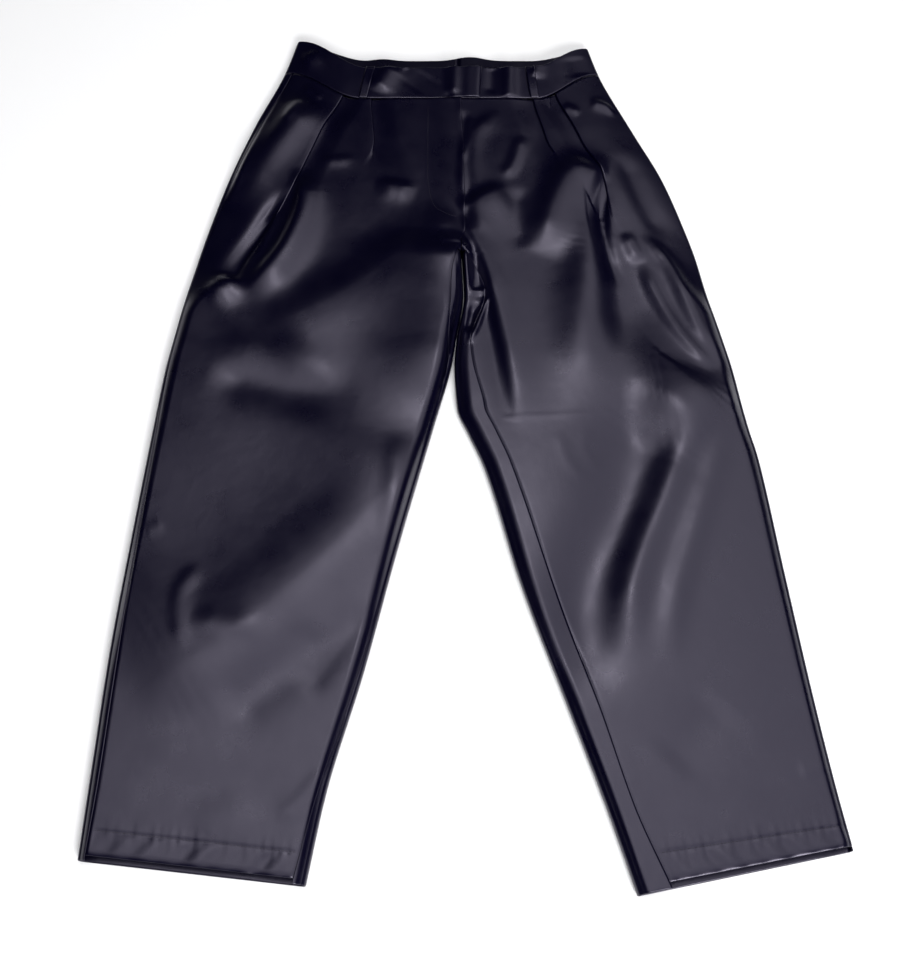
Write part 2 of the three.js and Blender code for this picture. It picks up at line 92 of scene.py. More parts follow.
leftRows = [
    (-garment["bandHeight"], 153, 497, -5, 462, seamAtEdge, seamUnder, 9, 1, 22, 1),
    (0, 165, 457, -7, 417, seamAtEdge, seamUnder, 9, 1, 20, 1),
    (65, 202, 375, -5, 366, seamAtEdge, seamUnder, 10.5, 0.7, 12, 1),
    (133, 234, 306, -4, 303, seamAtEdge, seamUnder, 12, 0.2, 4, 1),
    (201, 256, 238, -3, 235, seamAtEdge, seamUnder, 13, 0, 0, 1),
    (garment["crotch"], 265, 205, -3, 206, seamAtEdge, seamUnder, 13, 0, 0, 1),
    (garment["crotchEnd"], 267, 196, -2.4, 197, seamAtEdge, 7, 13, 0, 0, 0),
    (290, 276, 150, 0, 150, seamAtEdge, 24, 14, 0, 0, 0),
    (342, 288, 100, -8.5, 95, seamAtEdge, 16, 15, 0, 0, 0),
    (379, 297, 60, -11, 62, seamAtEdge, 21, 15.8, 0, 0, 0),
    (428, 305, 12, -8, 11, seamAtEdge, 30, 16, 0, 0, 0),
    (455, 310, -15, 3, -16, seamAtEdge, 30, 16, 0, 0, 0),
    (492, 317, -47, 21, -58, seamAtEdge, 29, 16, 0, 0, 0),
    (623, 334, -178, 58, -189, seamAtEdge, 32, 16, 0, 0, 0),
    (755, 351, -308, 104, -322, seamAtEdge, 30, 16, 0, 0, 0),
    (850, 365, -401, 138, -420, seamAtEdge, 26, 15.5, 0, 0, 0),
    (garment["length"], 375.5, -460, 164, -502, seamAtEdge, 33, 15, 0, 0, 0),
]

# Where each front's two pleats run, as shares of the way from the side to the middle
pleatColumns = ("down", "outer", "inner")
rightPleatRows = [(0, 0.34, 0.5), (90, 0.32, 0.6), (165, 0.28, 0.63), (270, 0.19, 0.63), (921, 0.19, 0.63)]
leftPleatRows = [(0, 0.31, 0.465), (80, 0.32, 0.51), (125, 0.29, 0.48), (190, 0.325, 0.5), (300, 0.32, 0.52), (921, 0.3, 0.52)]
rightPleat = {"outerSewn": 150, "outerFlat": 275, "innerSewn": 80, "innerFlat": 140, "underlap": 18}
leftPleat = {"outerSewn": 140, "outerFlat": 240, "innerSewn": 75, "innerFlat": 140, "underlap": 18}


def tableOf(names, rows):
    return {name: np.array([row[k] for row in rows], float) for k, name in enumerate(names)}


def smooth(t):
    t = np.clip(t, 0, 1)
    return t * t * (3 - 2 * t)


def mix(a, b, t):
    return a + (b - a) * t


def curveThrough(xs, ys, at):  # a curve through the rows that never overshoots them
    h = np.diff(xs)
    slope = np.diff(ys) / h
    product = slope[:-1] * slope[1:]
    total = np.where(product > 0, slope[:-1] + slope[1:], 1)
    tangent = np.concatenate(([slope[0]], np.where(product > 0, 2 * product / total, 0), [slope[-1]]))
    at = np.clip(at, xs[0], xs[-1])
    k = np.clip(np.searchsorted(xs, at, side="right") - 1, 0, len(h) - 1)
    t = (at - xs[k]) / h[k]
    rise = ys[k + 1] - ys[k]
    a = tangent[k] * h[k] - rise
    b = rise - tangent[k + 1] * h[k]
    return mix(ys[k], ys[k + 1], t) + t * (1 - t) * (a * (1 - t) + b * t)


def sectionsAt(table, down):  # every value as a column, one row per section
    down = np.asarray(down, float)
    cut = {name: curveThrough(table["down"], table[name], down)[:, None] for name in table if name != "down"}
    cut["down"] = down[:, None]
    cut["width"] = np.hypot(cut["inX"] - cut["outX"], cut["inY"] - cut["outY"])
    return cut


# A crease: its path in plan, the widths to the left and right of the way it runs, its height (hollows below
# zero), how wide it is at its two ends, and over which shares of its length it fades in and out
def crease(path, left, right, height, ends=(1, 1), fade=(0.25, 0.25)):
    return {"path": path, "left": left, "right": right, "height": height, "ends": ends, "fade": fade}


rightCreases = [
    crease([(-172, 422), (-216, 367), (-255, 318), (-278, 262)], 38, 34, 10.5, (0.6, 1.1), (0.24, 0.35)),
    crease([(-218, 408), (-242, 342), (-268, 273)], 12, 12, -1.5),
    crease([(-193, 437), (-169, 414)], 5, 4, 1.6),
    crease([(-195, 414), (-212, 378)], 5, 6, 1.5),
    crease([(-205, 287), (-232, 233), (-254, 191), (-264, 162)], 8, 16, -6.0, (0.5, 1.1), (0.3, 0.12)),
    crease([(-194, 317), (-187, 271), (-201, 216), (-230, 167), (-256, 138)], 27, 12, 9.0, (0.6, 1.1), (0.2, 0.3)),
    crease([(-292, 142), (-270, 158), (-248, 170)], 12, 19, 5.2, fade=(0.4, 0.4)),
    crease([(-173, 326), (-124, 328)], 6, 9, 1.5, fade=(0.4, 0.4)),
    crease([(-106, 292), (-79, 290), (-51, 284)], 8, 17, 3.0, fade=(0.4, 0.4)),
    crease([(0, 246), (-73, 195), (-139, 144), (-232, 96)], 62, 30, 6.5, fade=(0.1, 0.2)),
    crease([(-287, 83), (-224, 78), (-168, 58), (-122, 44)], 20, 28, 2.4, fade=(0.3, 0.4)),
    crease([(-284, 50), (-222, 35), (-169, 22), (-112, 14)], 18, 24, -3.4, fade=(0.25, 0.45)),
    crease([(2, 228), (-8, 142), (-17, 79), (-40, -40)], 12, 80, 15.0, (0.8, 1), (0.16, 0.45)),
    crease([(-10, 0), (-78, -78), (-134, -142), (-205, -212), (-280, -270), (-350, -312)], 54, 100, 10.0, fade=(0.25, 0.2)),
    crease([(-120, -36), (-176, -100), (-244, -166), (-318, -228)], 46, 90, -4.4, fade=(0.3, 0.3)),
    crease([(-70, -18), (-77, -122), (-93, -166)], 16, 12, 1.4),
    crease([(-272, -168), (-293, -200), (-291, -240), (-278, -266)], 12, 7, 1.1),
    crease([(-280, -224), (-245, -238), (-200, -240)], 14, 11, 1.6, fade=(0.3, 0.4)),
    crease([(-138, -231), (-177, -283), (-244, -336)], 22, 28, -2.6),
    crease([(-98, -210), (-137, -273), (-166, -314)], 14, 20, -1.6),
    crease([(-335, -135), (-317, -127)], 8, 8, 0.4),
    crease([(-270, -444), (-238, -434), (-200, -430)], 22, 22, 1.2, fade=(0.4, 0.4)),
    crease([(-136, -380), (-160, -412), (-186, -434)], 12, 9, 0.8),
]
leftCreases = [
    crease([(0, 402), (3, 350), (5, 300), (6, 236)], 7, 5, -1.6, fade=(0.1, 0.15)),
    crease([(8, 392), (3, 356), (-2, 321)], 5, 4, 1.2),
    crease([(69, 364), (57, 321), (42, 303)], 8, 7, 1.8),
    crease([(50, 399), (15, 371), (2, 321), (-1, 267)], 14, 7, 1.8),
    crease([(-6, 254), (21, 273), (54, 291)], 10, 38, 5.0, fade=(0.25, 0.4)),
    crease([(169, 301), (130, 312), (107, 273), (94, 226), (82, 196)], 38, 18, 7.0, fade=(0.12, 0.3)),
    crease([(65, 292), (62, 240), (69, 205)], 12, 12, -1.6),
    crease([(136, 268), (146, 206), (143, 129), (139, 40), (140, -30)], 44, 42, 8.0, (0.4, 1.2), (0.3, 0.5)),
    crease([(-2, 253), (25, 191), (40, 104), (54, 18), (62, -30)], 26, 10, 4.6, (0.6, 1.3), (0.1, 0.4)),
    crease([(0, 232), (22, 150), (37, 79), (48, 6), (55, -30)], 8, 14, -4.0, fade=(0.15, 0.45)),
    crease([(13, 141), (4, 98)], 6, 7, -6.0, fade=(0.3, 0.3)),
    crease([(28, 150), (17, 116), (5, 84)], 3, 3.5, 3.0, fade=(0.2, 0.25)),
    crease([(4, 151), (28, 154)], 3, 3, 2.5),
    crease([(166, 292), (160, 253), (163, 206), (176, 154)], 8, 12, -4.0, (0.5, 1.2), (0.3, 0.3)),
    crease([(184, 232), (200, 189)], 8, 9, 2.4, fade=(0.35, 0.35)),
    crease([(202, 230), (234, 186), (262, 104), (284, 56)], 11, 11, 3.2, (0.6, 1.1), (0.2, 0.3)),
    crease([(200, 191), (225, 129), (250, 85), (277, 52)], 7, 8, 2.6, fade=(0.2, 0.2)),
    crease([(182, 342), (215, 253), (238, 220)], 14, 12, -2.0),
    crease([(156, 296), (168, 215), (178, 130), (186, 40)], 58, 34, -8.5, (0.5, 1.1), (0.65, 0.35)),
    crease([(151, 414), (175, 408), (184, 398)], 6, 8, 2.6),
    crease([(118, 406), (139, 396)], 5, 6, 1.4),
    crease([(38, -4), (109, 0), (147, 3), (191, 8)], 1.5, 3.5, 0.25, fade=(0.05, 0.1)),
    crease([(286, 60), (264, 26), (230, 8), (170, 4)], 44, 56, 10.0, (0.8, 1), (0.4, 0.5)),
    crease([(226, 24), (180, -40), (162, -104), (138, -156), (124, -200), (120, -262), (120, -330)], 50, 40, -9.0, (1.1, 0.7), (0.2, 0.3)),
    crease([(286, 14), (240, -30), (208, -99), (184, -155), (168, -210), (160, -294)], 18, 18, 4.8, fade=(0.35, 0.3)),
    crease([(290, 0), (264, -65), (240, -133), (218, -199), (200, -294)], 14, 14, 1.8, fade=(0.25, 0.3)),
    crease([(262, -315), (198, -384)], 26, 26, -1.3),
    crease([(325, -386), (360, -378)], 7, 7, 0.6),
    crease([(101, -16), (108, -50), (128, -78)], 7, 7, 0.3),
    crease([(136, -12), (129, -39), (146, -67)], 7, 7, 0.35),
]


def smoothPath(points, steps=6):
    points = np.array(points, float)
    if len(points) < 3:
        return points
    padded = np.vstack([2 * points[0] - points[1], points, 2 * points[-1] - points[-2]])
    out = []
    for k in range(1, len(padded) - 2):
        p0, p1, p2, p3 = padded[k - 1 : k + 3]
        for t in np.arange(steps) / steps:
            out.append(0.5 * (2 * p1 + (p2 - p0) * t + (2 * p0 - 5 * p1 + 4 * p2 - p3) * t**2 + (3 * p1 - p0 - 3 * p2 + p3) * t**3))
    out.append(points[-1])
    return np.array(out)


def creaseHeight(x, y, creases):
    height = np.zeros_like(x)
    for fold in creases:
        path = smoothPath(fold["path"])
        reach = 3.2 * max(fold["left"], fold["right"])
        near = (x > path[:, 0].min() - reach) & (x < path[:, 0].max() + reach)
        near &= (y > path[:, 1].min() - reach) & (y < path[:, 1].max() + reach)
        if not near.any():
            continue
        px, py = x[near], y[near]
        best = np.full(px.shape, np.inf)
        side = np.zeros(px.shape)
        along = np.zeros(px.shape)
        lengths = np.hypot(*np.diff(path, axis=0).T)
        starts = np.concatenate(([0], np.cumsum(lengths)))
        for k, length in enumerate(lengths):
            ax, ay = path[k]
            dx, dy = (path[k + 1] - path[k]) / length
            t = np.clip((px - ax) * dx + (py - ay) * dy, 0, length)
            ox, oy = px - ax - t * dx, py - ay - t * dy
            distance = np.hypot(ox, oy)
            closer = distance < best
            best = np.where(closer, distance, best)
            side = np.where(closer, dx * oy - dy * ox, side)
            along = np.where(closer, (starts[k] + t) / starts[-1], along)
        width = mix(fold["right"], fold["left"], smooth(side / (0.4 * min(fold["left"], fold["right"])) + 0.5))
        width = width * mix(*fold["ends"], along)
        strength = smooth(along / fold["fade"][0]) * smooth((1 - along) / fold["fade"][1])
        height[near] += fold["height"] * strength * np.exp(-((best / width) ** 2))
    return height


def planOf(cut, s, back):  # plan position s from the side edge; back is 1 on the back layer
    u = s / cut["width"]
    dip = 0.5 - 0.5 * np.cos(np.pi * np.clip(u / garment["dipReach"], 0, 1))
    along = mix(u, dip, cut["bow"])
    return mix(cut["outX"], cut["inX"], u), mix(cut["outY"], cut["inY"] + cut["rise"] * back, along)


def frontSurface(cut, s, wall, creases):
    radius = garment["sideRadius"] - wall / 2
    fromInside = cut["width"] - s

    rounded = mix(garment["hipRound"], garment["legRound"], smooth((cut["down"] - 190) / 130))

    def swell(share):
        return np.sin(np.pi / 2 * np.clip(share / rounded, 0, 1))

    groove = smooth((cut["down"] - garment["crotch"]) / garment["grooveLength"])
    inside = mix(1, swell(fromInside / cut["width"]), groove)
    edges = smooth((s - 3) / 12) * mix(1, smooth((fromInside - 2) / 7), groove)
    x, y = planOf(cut, s, 0)
    lift = cut["lift"] * mix(1, garment["legLift"], smooth((cut["down"] - 120) / 330))
    z = garment["sideRadius"] + radius + lift * swell(s / cut["width"]) * inside
    if creases:
        z = z + creaseHeight(x, y, creases) * edges
    return np.stack([x, y, z], -1)


def floorSurface(cut, s, wall):
    x, y = planOf(cut, s, 1)
    return np.stack([x, y, np.full_like(x, wall / 2)], -1)


# Round the leg's closed outline: over the top, round the turn at the side, then along the floor
def loopSurface(cut, c, wall, creases, fromInside=False):
    radius = garment["sideRadius"] - wall / 2
    angle = np.clip((garment["sideRadius"] - c) / radius, 0, np.pi)

    def along(s):
        return cut["width"] - s if fromInside else s

    over = frontSurface(cut, along(np.maximum(c, garment["sideRadius"])), wall, creases)
    under = (garment["sideRadius"] - c) / radius - np.pi
    floor = floorSurface(cut, along(garment["sideRadius"] + np.maximum(under, 0) * radius), wall)
    x, y = planOf(cut, along(garment["sideRadius"] - radius * np.sin(angle)), angle / np.pi)
    extra = frontSurface(cut, along(np.full_like(c, garment["sideRadius"])), wall, creases)[..., 2]
    extra = (extra - garment["sideRadius"] - radius) * np.cos(angle / 2) ** 2
    turn = np.stack([x, y, garment["sideRadius"] + radius * np.cos(angle) + extra], -1)
    onTop = (c >= garment["sideRadius"])[..., None]
    below = (under > 0)[..., None]
    return np.where(onTop, over, np.where(below, floor, turn))


def roundEdge(distance, radius):  # share of the wall left this far from a folded edge
    return np.sqrt(np.clip(1 - (1 - np.clip(distance / radius, 0, 1)) ** 2, 0.002, 1))


# A closed wall on both sides of a grid of points: outward and inward thickness for each point
def makeShell(name, grid, facing, outward, inward, material):
    rows, columns = grid.shape[:2]
    across = np.gradient(grid, axis=1)
    downwards = np.gradient(grid, axis=0)
    normal = np.cross(downwards, across) * facing
    normal /= np.maximum(np.linalg.norm(normal, axis=-1, keepdims=True), 1e-9)
    outside = grid + normal * outward[..., None]
    inside = grid - normal * inward[..., None]
    points = np.concatenate([outside.reshape(-1, 3), inside.reshape(-1, 3)])
    points[:, 1] -= garment["middleY"]
    index = np.arange(rows * columns).reshape(rows, columns)
    under = index + rows * columns

    def quads(a, b, c, d):
        return np.stack([a.ravel(), b.ravel(), c.ravel(), d.ravel()], -1)

    faces = [
        quads(index[:-1, :-1], index[1:, :-1], index[1:, 1:], index[:-1, 1:]),
        quads(under[:-1, :-1], under[:-1, 1:], under[1:, 1:], under[1:, :-1]),
        quads(index[:-1, 0], under[:-1, 0], under[1:, 0], index[1:, 0]),
        quads(index[:-1, -1], index[1:, -1], under[1:, -1], under[:-1, -1]),
        quads(index[0, :-1], index[0, 1:], under[0, 1:], under[0, :-1]),
        quads(index[-1, :-1], under[-1, :-1], under[-1, 1:], index[-1, 1:]),
    ]
    faces = np.concatenate(faces)
    if facing < 0:
        faces = faces[:, ::-1]
    mesh = bpy.data.meshes.new(name)
    mesh.vertices.add(len(points))
    mesh.vertices.foreach_set("co", (points * metre).astype(np.float32).ravel())
    mesh.loops.add(faces.size)
    mesh.loops.foreach_set("vertex_index", faces.astype(np.int32).ravel())
    mesh.polygons.add(len(faces))
    mesh.polygons.foreach_set("loop_start", np.arange(0, faces.size, 4, dtype=np.int32))
    mesh.update(calc_edges=True)
    mesh.polygons.foreach_set("use_smooth", np.ones(len(faces), bool))
    mesh.materials.append(material)
    piece = bpy.data.objects.new(name, mesh)
    bpy.context.collection.objects.link(piece)
    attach(piece, "root")
    return piece


leatherLook = {
    "colour": (0.0006, 0.0002, 0.0095, 1),
    "tint": (0.9, 0.85, 1, 1),
    "roughness": 0.3,
    "roughnessSpread": 0.04,
    "grainSize": 0.9,  # millimetres
    "grainHeight": 0.00006,  # metres
    "waveSize": 38.0,  # soft unevenness of the hide, millimetres
    "waveHeight": 0.0006,
}


def leatherMaterial(name, look):
    material = bpy.data.materials.new(name)
    material.use_nodes = True
    nodes, links = material.node_tree.nodes, material.node_tree.links
    shader = nodes["Principled BSDF"]
    shader.inputs["Base Color"].default_value = look["colour"]
    shader.inputs["Specular IOR Level"].default_value = 0.6
    shader.inputs["Specular Tint"].default_value = look["tint"]
    place = nodes.new("ShaderNodeTexCoord")
    hide = nodes.new("ShaderNodeTexNoise")
    hide.inputs["Scale"].default_value = 1000 / look["waveSize"]
    hide.inputs["Detail"].default_value = 3
    grain = nodes.new("ShaderNodeTexNoise")
    grain.inputs["Scale"].default_value = 1000 / look["grainSize"]
    grain.inputs["Detail"].default_value = 2
    links.new(place.outputs["Object"], hide.inputs["Vector"])
    links.new(place.outputs["Object"], grain.inputs["Vector"])
    spread = nodes.new("ShaderNodeMapRange")
    spread.inputs["From Min"].default_value = 0.3
    spread.inputs["From Max"].default_value = 0.7
    spread.inputs["To Min"].default_value = look["roughness"] - look["roughnessSpread"]
    spread.inputs["To Max"].default_value = look["roughness"] + look["roughnessSpread"]
    links.new(hide.outputs["Fac"], spread.inputs["Value"])
    links.new(spread.outputs["Result"], shader.inputs["Roughness"])
    waves = nodes.new("ShaderNodeBump")
    waves.inputs["Distance"].default_value = look["waveHeight"]
    waves.inputs["Strength"].default_value = 0.5
    links.new(hide.outputs["Fac"], waves.inputs["Height"])
    fine = nodes.new("ShaderNodeBump")
    fine.inputs["Distance"].default_value = look["grainHeight"]
    links.new(grain.outputs["Fac"], fine.inputs["Height"])
    links.new(waves.outputs["Normal"], fine.inputs["Normal"])
    links.new(fine.outputs["Normal"], shader.inputs["Normal"])
    return material


leather = leatherMaterial("blackLeather", leatherLook)


def panelStations(end, step=2.8):  # sections down a panel, with close ones where the hem turns over
    hemTop = garment["length"] - garment["hemDepth"]
    plain = np.linspace(0, hemTop - 1.5, int((hemTop - 1.5) / step))
    hem = np.linspace(hemTop - 0.5, end - 2.2, 10)
    edge = end - np.array([1.3, 0.8, 0.4, 0.15, 0.0])
    return np.concatenate([plain, hem, edge])


pleat = {"layers": 0.6, "climb": 28.0, "spread": 26.0, "room": 0.36, "opens": 0.85}  # layers: how tightly they are pressed


def pleatShape(underlap, count=9):  # a pleat folded back on itself; s runs to the middle, z is the height
    radius = garment["pleatRadius"]
    first = np.radians(np.linspace(90, -90, count))
    second = np.radians(np.linspace(90, 270, count))
    s = np.concatenate([radius * np.cos(first) + 0 * underlap, -underlap + radius * np.cos(second)], 1)
    z = np.concatenate([radius * (np.sin(first) - 1), radius * (np.sin(second) - 3)])
    return s, np.broadcast_to(z * pleat["layers"], s.shape)


def frontGrid(cut, pleatTable, settings, start, end):
    down = np.maximum(cut["down"], 0)
    sideStep = np.maximum(0.8, (garment["sideRadius"] - start) / 4)
    turn = garment["pleatRadius"]
    s = [start + np.arange(5)[None] * sideStep]
    z = [np.zeros_like(s[0])]
    before = start + 5 * sideStep
    drop = 0 * down

    def plain(to, count):
        here = mix(before, to, np.linspace(0, 1, count, endpoint=False)[None])
        s.append(here)
        z.append(-drop * (1 - smooth((here - before) / pleat["climb"])))

    places = {n: curveThrough(pleatTable["down"], pleatTable[n], down[:, 0])[:, None] * cut["width"] for n in ("outer", "inner")}
    between = places["inner"] - places["outer"]
    for name, count in (("outer", 28), ("inner", 24)):
        place = places[name]
        opens, flat = settings[name + "Sewn"] * pleat["opens"], settings[name + "Flat"]
        opened = smooth((down - opens) / (flat - opens))
        spread = mix(turn, np.minimum(pleat["spread"], pleat["room"] * between), opened)
        plain(place - spread - turn, count)
        foldS, foldZ = pleatShape(settings["underlap"] * (1 - smooth(down / settings[name + "Sewn"])))
        even = spread * np.linspace(-1, 1, foldS.shape[1])[None]
        s.append(place + mix(foldS, even, opened))
        z.append(foldZ * (1 - opened))
        before = place + spread + 2 * turn
        drop = 4 * turn * pleat["layers"] * (1 - opened)
    plain(end - 5, 44)
    s.append(end - 5 + 5 * np.array([[0, 0.3, 0.55, 0.75, 0.88, 0.96, 1]]))
    z.append(np.zeros_like(s[-1]))
    return np.concatenate(s, 1), np.concatenate(z, 1)


def wobble(t, seed):  # an uneven wave between about -1 and 1
    rng = np.random.default_rng(seed)
    total = np.zeros_like(t)
    for wave in (1.0, 1.7, 2.9):
        total += np.sin(t * wave * 2 * np.pi + rng.uniform(0, 6.3) + 0.8 * np.sin(t * 1.3 + rng.uniform(0, 6.3)))
    return total / 3


hemStitching = {"above": 29.0, "groove": 0.5, "pucker": 0.36, "puckerLength": 26.0, "reach": 9.0, "fold": 1.0, "foldLength": 70.0, "lean": 0.6, "roll": 1.0}
seamLook = {"dip": 0.55, "width": 1.6}


def hemRelief(cut, s, look, seed):
    fromStitch = cut["down"] - (garment["length"] - look["above"])
    puckers = wobble(s / look["puckerLength"], seed) * np.exp(-((fromStitch / look["reach"]) ** 2))
    folds = wobble((s + look["lean"] * fromStitch) / look["foldLength"], seed + 20) * smooth((fromStitch + 5) / 16)
    return look["pucker"] * puckers + look["fold"] * folds - look["groove"] * np.exp(-((fromStitch / 1.3) ** 2))


def frontPanel(name, rows, pleatRows, settings, side, creases, overFly, seed):
    end = garment["length"] - garment["hemSetback"]
    cut = sectionsAt(tableOf(sectionColumns, rows), panelStations(end))
    down = cut["down"]
    lap = 5 * smooth((garment["crotch"] - 8 - down) / 20) if overFly else 0
    raised = (garment["leather"] + 0.6) * smooth((garment["crotch"] - down) / 8) if overFly else 0
    finish = cut["width"] - np.maximum(0, cut["inStrip"]) - garment["seamGap"] + lap
    start = cut["outStrip"] + garment["seamGap"]
    s, z = frontGrid(cut, tableOf(pleatColumns, pleatRows), settings, start, finish)
    fromInside = cut["width"] - s
    wall = garment["leather"]
    grid = frontSurface(cut, s, wall, creases)
    grid = np.where((s < garment["sideRadius"])[..., None], loopSurface(cut, s, wall, creases), grid)
    closed = (fromInside < garment["sideRadius"]) & (cut["open"] < 0.5)
    grid = np.where(closed[..., None], loopSurface(cut, fromInside, wall, creases, True), grid)
    grid[..., 2] += z + raised * smooth((s - cut["width"] + 44) / 38)
    grid[..., 2] += hemRelief(cut, s, hemStitching, seed) * smooth((s - start) / 12) * smooth((finish - s) / 12)
    grid[..., 2] -= hemStitching["roll"] * (1 - smooth((end - down) / 4))
    toSeam = np.minimum(s - start, finish - s)
    grid[..., 2] -= seamLook["dip"] * np.exp(-((toSeam / seamLook["width"]) ** 2)) * (1 - cut["open"] * (fromInside < 40))
    edge = roundEdge(end - down, 1.3) * np.ones_like(s)
    if overFly:
        edge = edge * mix(1, roundEdge(finish - s, 1.3), smooth((garment["crotch"] - down) / 8))
        grid[..., 2] += 0.9 * np.exp(-(((finish - s) / 5) ** 2)) * smooth((garment["crotch"] - down) / 30)
    onHem = smooth((down - garment["length"] + garment["hemDepth"]) / 1.0) * (s - start > 6) * (finish - s > 6)
    return makeShell(name, grid, side, garment["outer"] * edge, (garment["inner"] + wall * onHem) * edge, leather)


def backPanel(name, rows, side, creases, seed):
    end = garment["length"]
    cut = sectionsAt(tableOf(sectionColumns, rows), panelStations(end))
    radius, wall = garment["sideRadius"], garment["leather"]
    stripEnd = np.maximum(cut["outStrip"], seamAtEdge)
    turnEnd = np.minimum(radius, stripEnd - 1)
    outside = np.concatenate([
        mix(stripEnd, turnEnd, np.linspace(0, 1, 7, endpoint=False)[None]),
        mix(turnEnd, seamUnder, np.linspace(0, 1, 11)[None]),
    ], 1)
    wideEnd = cut["width"] - garment["insideReach"]
    middle = cut["width"] - mix(radius, 0.02, cut["open"])
    wide = mix(radius, wideEnd, np.linspace(0, 1, 17)[None, 1:])
    insideEnd = np.maximum(cut["inStrip"], seamAtEdge)
    insideTurn = np.minimum(radius, insideEnd - 1)
    inside = np.concatenate([
        mix(seamUnder, insideTurn, np.linspace(0, 1, 11)[None]),
        mix(insideTurn, insideEnd, np.linspace(0, 1, 15)[None, 1:]),
    ], 1)
    narrow = mix(wideEnd, middle, (np.arange(inside.shape[1])[None] + 1) / inside.shape[1])
    turned = loopSurface(cut, inside, wall, creases, True)
    turned = mix(turned, floorSurface(cut, narrow, wall), cut["open"][..., None])
    grid = np.concatenate([loopSurface(cut, outside, wall, creases), floorSurface(cut, wide, wall), turned], 1)
    columns = grid.shape[1]
    number = np.arange(columns)[None]
    strips = (number < 7) | (number > columns - 15) * (cut["open"] < 0.5)
    grid[..., 2] += np.maximum(0, hemRelief(cut, grid[..., 0] - cut["outX"], hemStitching, seed)) * strips * 0.3
    edge = roundEdge(end - cut["down"], 1.3) * np.ones((1, columns))
    hem = smooth((cut["down"] - end + garment["hemDepth"]) / 1.0) * (number > 18) * (number < columns - 26)
    return makeShell(name, grid, -side, wall / 2 * edge, (wall / 2 + wall * hem) * edge, leather)


bandCreases = [
    crease([(-200, 474), (-170, 486)], 9, 17, 3.4, fade=(0.4, 0.4)),
    crease([(-84, 470), (-108, 426)], 17, 9, 3.8, fade=(0.3, 0.3)),
    crease([(-78, 471), (-64, 462)], 6, 8, 1.6, fade=(0.4, 0.4)),
    crease([(-38, 452), (-60, 424)], 20, 24, -1.0),
    crease([(-15, 470), (-15, 420)], 8, 6, 2.2, fade=(0.2, 0.2)),
    crease([(36, 468), (34, 420)], 8, 8, -1.6),
    crease([(55, 470), (54, 416)], 9, 7, 3.0, fade=(0.1, 0.1)),
    crease([(88, 470), (86, 444)], 9, 5, 2.4, fade=(0.2, 0.4)),
    crease([(132, 482), (142, 450)], 14, 12, -0.9),
]
allCreases = rightCreases + leftCreases
pieces = {
    "backRight": backPanel("backRight", rightRows, 1, allCreases, 3),
    "backLeft": backPanel("backLeft", leftRows, -1, allCreases, 4),
    "frontRight": frontPanel("frontRight", rightRows, rightPleatRows, rightPleat, 1, allCreases, True, 5),
    "frontLeft": frontPanel("frontLeft", leftRows, leftPleatRows, leftPleat, -1, allCreases, False, 6),
}
print("panels made")

band = {"tabReach": 31.0, "tabStep": 12.0, "loopWidth": 11.0, "loopPlace": 0.46, "loopSlack": 1.2, "tabLift": 1.1}
topWaves = [(-98, 3.0, 16), (8, 6.0, 22)]  # the back's top edge rises here: place across, height, half width


def bandStations():
    return -np.concatenate([[0.6, 0.75, 1.0, 1.4], np.linspace(2, garment["bandHeight"] - 2.2, 26), garment["bandHeight"] - np.array([1.4, 0.8, 0.4, 0.15, 0])])


def bandSurface(cut, s, tab):
    wall = garment["bandLeather"]
    grid = frontSurface(cut, s, wall, bandCreases)
    grid = np.where((s < garment["sideRadius"])[..., None], loopSurface(cut, s, wall, bandCreases), grid)
    if tab:
        grid[..., 2] += (wall + garment["seamGap"]) * smooth((s - cut["width"] + band["tabStep"]) / (band["tabStep"] - 3))
        fromEnd = cut["width"] + band["tabReach"] - 3 - s
        grid[..., 2] += band["tabLift"] * smooth(fromEnd / 5) * smooth((s - cut["width"] - 4) / 10)
    return grid


def waistband(name, rows, side, tab):
    cut = sectionsAt(tableOf(sectionColumns, rows), bandStations()[::-1])
    radius, wall = garment["sideRadius"], garment["bandLeather"]
    turn = radius - wall / 2
    end = cut["width"] - garment["seamGap"] + (band["tabReach"] - 3 if tab else 0)
    front = mix(end, radius, np.concatenate([[0, 0.0015, 0.004, 0.008], np.linspace(0.013, 1, 90)])[None])
    around = radius - np.linspace(0, 1, 13)[None, 1:] * np.pi * turn + 0 * cut["width"]
    floor = mix(radius, cut["width"] - 0.02, np.linspace(0, 1, 41)[None, 1:])
    under = floorSurface(cut, floor, wall)
    for place, high, half in topWaves:
        under[..., 1] += high * np.clip(-cut["down"] / garment["bandHeight"], 0, 1) * np.exp(-(((under[..., 0] - place) / half) ** 2))
    grid = np.concatenate([bandSurface(cut, front, tab), loopSurface(cut, around, wall, bandCreases), under], 1)
    ends = np.minimum(cut["down"] + garment["bandHeight"], -0.6 - cut["down"])
    fromEnd = np.full((1, grid.shape[1]), 9.0)
    fromEnd[0, : front.shape[1]] = (end - front)[0]
    edge = roundEdge(ends, 1.1) * roundEdge(fromEnd, 1.1)
    return makeShell(name, grid, -side, wall / 2 * edge, wall / 2 * edge, leather)


